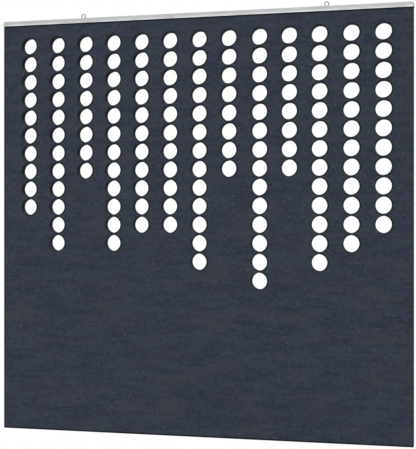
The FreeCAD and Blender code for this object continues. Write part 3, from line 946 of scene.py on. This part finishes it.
def outside_eye(points):
    """How far points lie outside the ring, neck and collar. The ring is
    hypot(hypot(x, z) - R, y) - r kept out of its bore; the neck is a cone and the collar a disk
    with a rounded edge."""
    x, y, z = points.T
    ring_way, stem_way = np.hypot(x, z), np.hypot(x, y)
    ring = np.hypot(ring_way - RING_RADIUS, y) - WIRE_RADIUS
    ring = -blended(-ring, ring_way - BORE_RADIUS, LAND_ROUNDING)
    flare = (COLLAR_RADIUS - NECK_RADIUS) / (NECK_TOP - COLLAR_TOP)
    cone = (stem_way - NECK_RADIUS - flare * (NECK_TOP - z)) / math.hypot(1, flare)
    cone = np.maximum(cone, np.maximum(z - NECK_TOP, (COLLAR_TOP + COLLAR_FOOT) / 2 - z))
    over = stem_way - COLLAR_RADIUS + COLLAR_ROUNDING
    half = (COLLAR_TOP - COLLAR_FOOT) / 2 - COLLAR_ROUNDING
    above = np.abs(z - (COLLAR_TOP + COLLAR_FOOT) / 2) - half
    disk = np.hypot(np.clip(over, 0, None), np.clip(above, 0, None)) - COLLAR_ROUNDING
    disk = disk + np.minimum(np.maximum(over, above), 0)
    stem = blended(cone, disk, COLLAR_ROUNDING)
    return blended(ring, stem, FORGED_FILLET)


def settled(points):
    """Points moved onto the surface where outside_eye is nothing, along its slope."""
    for _ in range(SETTLING_ROUNDS):
        slope = np.stack([
            (outside_eye(points + way) - outside_eye(points - way)) / (2 * SLOPE_STEP)
            for way in np.eye(3) * SLOPE_STEP
        ], axis=-1)
        steep = np.clip((slope * slope).sum(axis=1, keepdims=True), LEAST_SLOPE, None)
        points = points - outside_eye(points)[:, None] * slope / steep
    return points


wire_turn = np.linspace(0, 2 * math.pi, WIRE_SIDES + 1)
torus, torus_faces = turned(np.column_stack([
    RING_RADIUS + WIRE_RADIUS * np.cos(wire_turn), WIRE_RADIUS * np.sin(wire_turn)
]), RING_SIDES)
stem = turned([
    (0, COLLAR_FOOT), (COLLAR_RADIUS, COLLAR_FOOT), (COLLAR_RADIUS, COLLAR_TOP),
    (NECK_RADIUS, NECK_TOP), (0, NECK_TOP),
], STEM_SIDES)
blank = new_piece("eye_blank", sewn_mesh("eye_blank", [(torus @ UPRIGHT, torus_faces), stem]))
voxels = blank.modifiers.new("one skin", "REMESH")
voxels.mode = "VOXEL"
voxels.voxel_size = VOXEL
eye_skin = finished_mesh(blank, "eye_skin")
eye_points = settled(points_of(eye_skin))
eye_faces = [list(face.vertices) for face in eye_skin.polygons]
eye_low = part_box("left_eye_bolt")[0]
eye_sheets = [(eye_points, eye_faces)] + thread_sheets(
    eye_low[2], COLLAR_FOOT + SHANK_SINK, SHANK_CREST, SHANK_CORE, SHANK_PITCH,
    SHANK_RIDGE, SHANK_RUNOUT,
)

# The eyes' finish: zinc plate over forged steel, slightly mottled, rubbed bright on the inner land
# at the top of the ring, where the weight hangs.
EYE_TONES = (0.27, 0.275, 0.285, 1), (0.20, 0.205, 0.215, 1), (0.50, 0.50, 0.495, 1)
EYE_GRAIN_SIZE = (0.0007, 0.0007, 0.0007)
EYE_SMUDGE_SIZE = (0.005, 0.005, 0.005)
EYE_SCRATCH_SIZE = (0.0025, 0.0003, 0.0003)

eye_finish = metal_finish(
    "plated_steel", EYE_TONES, EYE_GRAIN_SIZE, EYE_SMUDGE_SIZE, EYE_SCRATCH_SIZE,
    patch=0.0015, roughness=0.34, relief=0.00004,
)
for side, x in zip(SIDES, eye_x):
    eye_mesh = sewn_mesh(f"{side}_eye_shown", [
        (np.reshape(points, (-1, 3)) + [x, 0, 0], faces) for points, faces in eye_sheets
    ])
    eye_mesh.set_sharp_from_angle(angle=math.radians(EYE_SHARP_ANGLE))
    eye = new_piece(f"{side}_eye_shown", eye_mesh)
    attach(eye, f"{side}_eye")
    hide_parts(f"{side}_eye_bolt")
    place = points_of(eye_mesh) - [x, 0, 0]
    bore_gap = np.hypot(place[:, 0], place[:, 2]) - BORE_RADIUS
    on_land = np.clip(1 - bore_gap / LAND_RUB_WIDTH, 0, 1)
    at_top = np.interp(place[:, 2] / BORE_RADIUS, LAND_RUB_SHARES, (0, 1))
    write_attribute(eye_mesh, "wear_and_painted_highlight", on_land * at_top)
    dress(eye_mesh, eye_finish)

# Washers and lock nuts: standard zinc plated M4 parts under the channel's web, in the felt's nut
# rooms. Each nut stops just short of clamping its washer, so that the eye swivels.
for name in ("left_eye_washer", "right_eye_washer", "left_lock_nut", "right_lock_nut"):
    for spot in bpy.data.objects[name].material_slots:
        spot.material = zinc_finish

# Studio: a pale floor well below the hanging panel, a broad soft light from the front left, a
# faint strip beside the right edge, a slightly weaker broad light behind, and the camera where the
# picture was taken from. Each lamp has a place, a size and a power.
FLOOR_DROP = 0.6
FLOOR_SIZE = 40
FLOOR_FADE = (1.1, 2.4)
FLOOR_GLOW = 0.4
FLOOR_TONE = (0.85, 0.85, 0.85, 1)
WHITE = (1, 1, 1, 1)
ROOM_LIGHT = 0.55
LAMPS = {
    "key": ((-1.6, -6.5, 6.6), (8.0, 8.0), 400),
    "edge strip": ((4.0, 0.3, -0.6), (0.3, 1.2), 5),
    "back": ((-2.0, 6.5, 5.6), (8.0, 8.0), 340),
}
FOCAL_PIXELS = 1169.0
HORIZON_ROW = 229.13
PHOTO_ROWS = 449
SENSOR = 36
YAW = 15.221
CAMERA_PLACE = (0.8883, -3.1971, -0.6213)


def end_with(tree, surface, kind):
    """Join a shader to the tree's output."""
    wire(tree, tree.nodes.new("ShaderNodeOutput" + kind).inputs["Surface"], surface.outputs[0])


def seen_directly(tree):
    """One where a ray comes from the camera or from a glossy surface."""
    ray = add_node(tree, "LightPath")
    return reckon(tree, "MAXIMUM", ray.outputs["Is Camera Ray"], ray.outputs["Is Glossy Ray"])


def mixed_shader(tree, share, first, second):
    """The first shader, turning to the second as share goes from 0 to 1."""
    node = add_node(tree, "MixShader")
    for socket, value in zip(node.inputs, (share, first.outputs[0], second.outputs[0])):
        wire(tree, socket, value)
    return node


corners = np.array([(-1, -1, 0), (1, -1, 0), (1, 1, 0), (-1, 1, 0)]) * FLOOR_SIZE / 2
floor_mesh = bpy.data.meshes.new("floor")
floor_mesh.from_pydata((corners + [0, 0, felt_low[2] - FLOOR_DROP]).tolist(), [], [(0, 1, 2, 3)])
floor = new_piece("floor", floor_mesh)
floor_finish = bpy.data.materials.new("floor")
floor_finish.use_nodes = True
floor_mesh.materials.append(floor_finish)
tree = floor_finish.node_tree
tree.nodes.clear()
paper = add_node(tree, "BsdfDiffuse", Color=FLOOR_TONE)
glow = add_node(tree, "Emission", Color=WHITE)
away = add_node(tree, "VectorMath", {"operation": "LENGTH"})
wire(tree, away.inputs[0], add_node(tree, "TexCoord").outputs["Object"])
fade = eased(tree, away.outputs["Value"], *FLOOR_FADE, FLOOR_GLOW, 1.0)
share = reckon(tree, "MULTIPLY", fade, seen_directly(tree))
sheet = mixed_shader(tree, share, paper, glow)
from_below = add_node(tree, "NewGeometry").outputs["Backfacing"]
clear = add_node(tree, "BsdfTransparent")
end_with(tree, mixed_shader(tree, from_below, sheet, clear), "Material")

world = bpy.data.worlds.new("studio")
world.use_nodes = True
bpy.context.scene.world = world
tree = world.node_tree
tree.nodes.clear()
room = add_node(tree, "Background", Color=WHITE, Strength=ROOM_LIGHT)
white = add_node(tree, "Background", Color=WHITE, Strength=1.0)
end_with(tree, mixed_shader(tree, seen_directly(tree), room, white), "World")


def soft_lamp(name, place, aim, size, power):
    """A rectangular area lamp at place that shines towards aim."""
    lamp = bpy.data.lights.new(name, "AREA")
    lamp.shape = "RECTANGLE"
    lamp.size, lamp.size_y = size
    lamp.energy = power
    holder = bpy.data.objects.new(name, lamp)
    bpy.context.scene.collection.objects.link(holder)
    way = np.array(aim) - np.array(place)
    holder.location = place
    holder.rotation_euler = (
        math.atan2(math.hypot(way[0], way[1]), -way[2]), 0, math.atan2(-way[0], way[1])
    )


middle = (0, 0, (felt_low[2] + felt_high[2]) / 2)
for name, (stand, size, power) in LAMPS.items():
    soft_lamp(name, stand, middle, size, power)

camera = bpy.data.cameras.new("camera")
camera.sensor_width = SENSOR
camera.lens = FOCAL_PIXELS * SENSOR / PHOTO_ROWS
camera.shift_y = (HORIZON_ROW - PHOTO_ROWS / 2) / PHOTO_ROWS
camera_holder = bpy.data.objects.new("camera", camera)
bpy.context.scene.collection.objects.link(camera_holder)
camera_holder.location = CAMERA_PLACE
camera_holder.rotation_euler = (math.pi / 2, 0, math.radians(YAW))
bpy.context.scene.camera = camera_holder
bpy.context.scene.view_settings.view_transform = "Standard"
